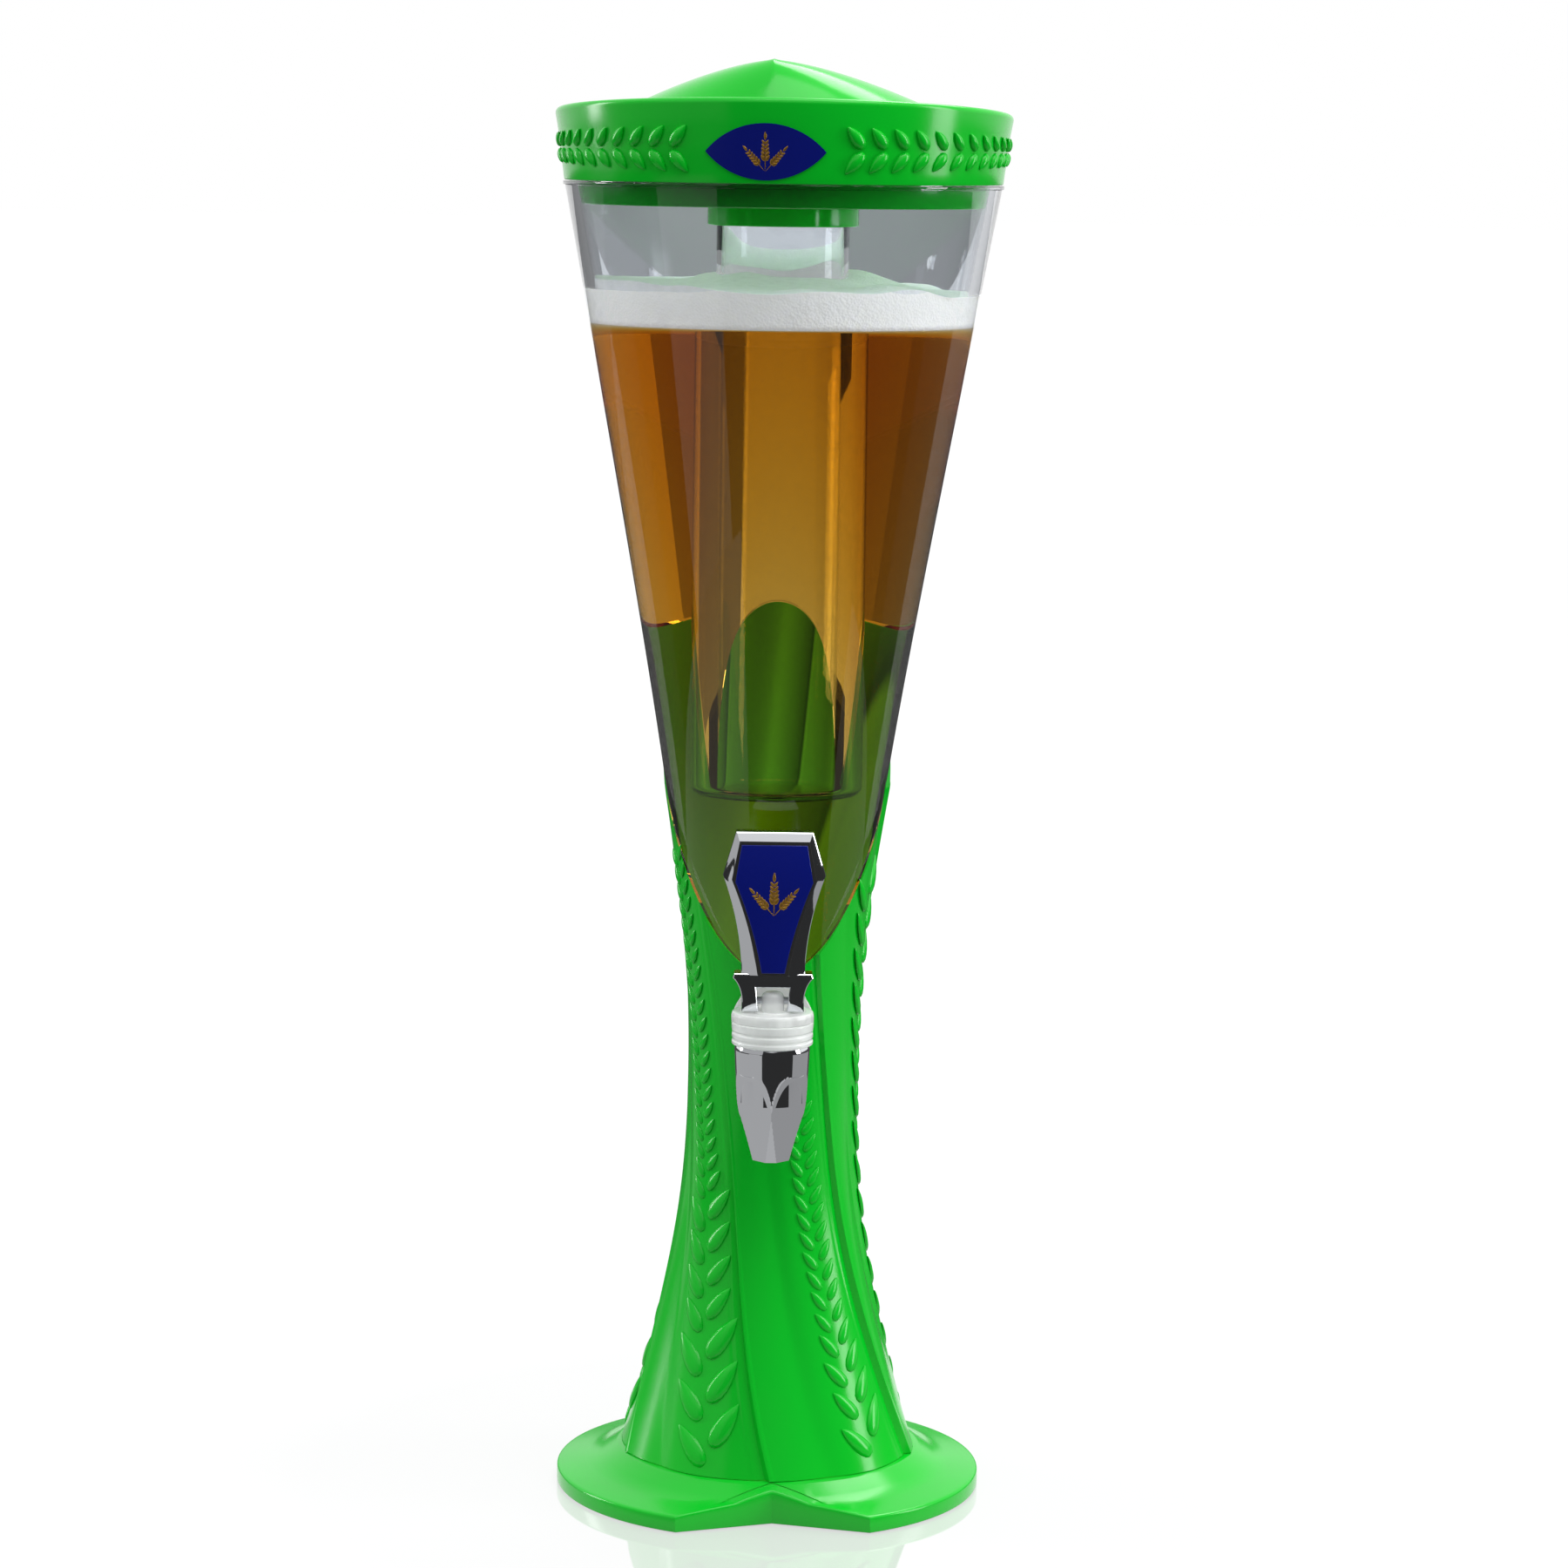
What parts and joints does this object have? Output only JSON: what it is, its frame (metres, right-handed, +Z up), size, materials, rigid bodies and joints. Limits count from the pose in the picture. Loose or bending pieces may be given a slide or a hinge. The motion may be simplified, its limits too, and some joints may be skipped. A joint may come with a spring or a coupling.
{
  "type": "beer tower dispenser",
  "caption": "Tall table-top drink dispenser: clear cone cup with a central ice tube and lid, a twisted column on a round base, and a lever tap.",
  "frame": {"origin": "under the middle of the round base, on the surface that the feet stand on", "axes": "+Z up along the tower's axis; -Y towards the drinker, where the tap is; +X to the right seen from the tap's side"},
  "size_m": [0.194, 0.194, 0.6188],
  "materials": {
    "green_plastic": "glossy moulded ABS, bright green",
    "dark_plastic": "matt dark green underside cover",
    "rubber_foot": "black rubber",
    "steel_screw": "zinc-plated steel",
    "clear_cup": "clear polycarbonate, polished",
    "clear_tap": "clear moulded plastic",
    "navy_panel": "glossy navy plate",
    "silicone_seal": "translucent white silicone",
    "chrome_plate": "bright chrome plating on plastic"
  },
  "bodies": {
    "root": {"base_shell": "green_plastic", "base_cover": "dark_plastic", "foot_pad_1": "rubber_foot", "foot_pad_2": "rubber_foot", "foot_pad_3": "rubber_foot", "foot_pad_4": "rubber_foot", "cover_screw_1": "steel_screw", "cover_screw_2": "steel_screw", "cover_screw_3": "steel_screw", "column_screw_1": "steel_screw", "column_screw_2": "steel_screw", "column_screw_3": "steel_screw", "column_screw_4": "steel_screw", "column_shell": "green_plastic", "cup": "clear_cup", "top_ring": "green_plastic", "badge_plate": "navy_panel", "flange_gasket": "silicone_seal", "inner_gasket": "silicone_seal", "shank_nut": "clear_tap", "tap_body": "clear_tap", "tap_bonnet": "clear_tap", "nozzle": "chrome_plate"},
    "lid": {"lid_base": "green_plastic", "lid_dome": "green_plastic", "lid_seal": "silicone_seal", "tube_hub": "green_plastic", "tube_seal": "silicone_seal"},
    "ice_tube": {"ice_tube": "clear_cup"},
    "stem": {"stem": "clear_tap", "seat_cup": "silicone_seal"},
    "handle": {"handle_frame": "chrome_plate", "handle_inset": "navy_panel", "pivot_pin": "steel_screw"}
  },
  "joints": [
    {"name": "lid_lift", "type": "slide", "parent": "root", "child": "lid", "axis": [0, 0, 1], "range_m": [0, 0.31]},
    {"name": "tube_twist", "type": "hinge", "parent": "lid", "child": "ice_tube", "pos_m": [0, 0, 0.555], "axis": [0, 0, 1], "range_deg": [0, 60]},
    {"name": "stem_lift", "type": "slide", "parent": "root", "child": "stem", "axis": [0, 0, 1], "range_m": [0, 0.00349]},
    {"name": "handle_tilt", "type": "hinge", "parent": "stem", "child": "handle", "pos_m": [0, -0.065, 0.227], "axis": [1, 0, 0], "range_deg": [0, 40], "stiffness_Nm_per_rad": 0.3}
  ],
  "couplings": [
    {"joint": "stem_lift", "follows": "handle_tilt", "m_per_rad": 0.005}
  ]
}
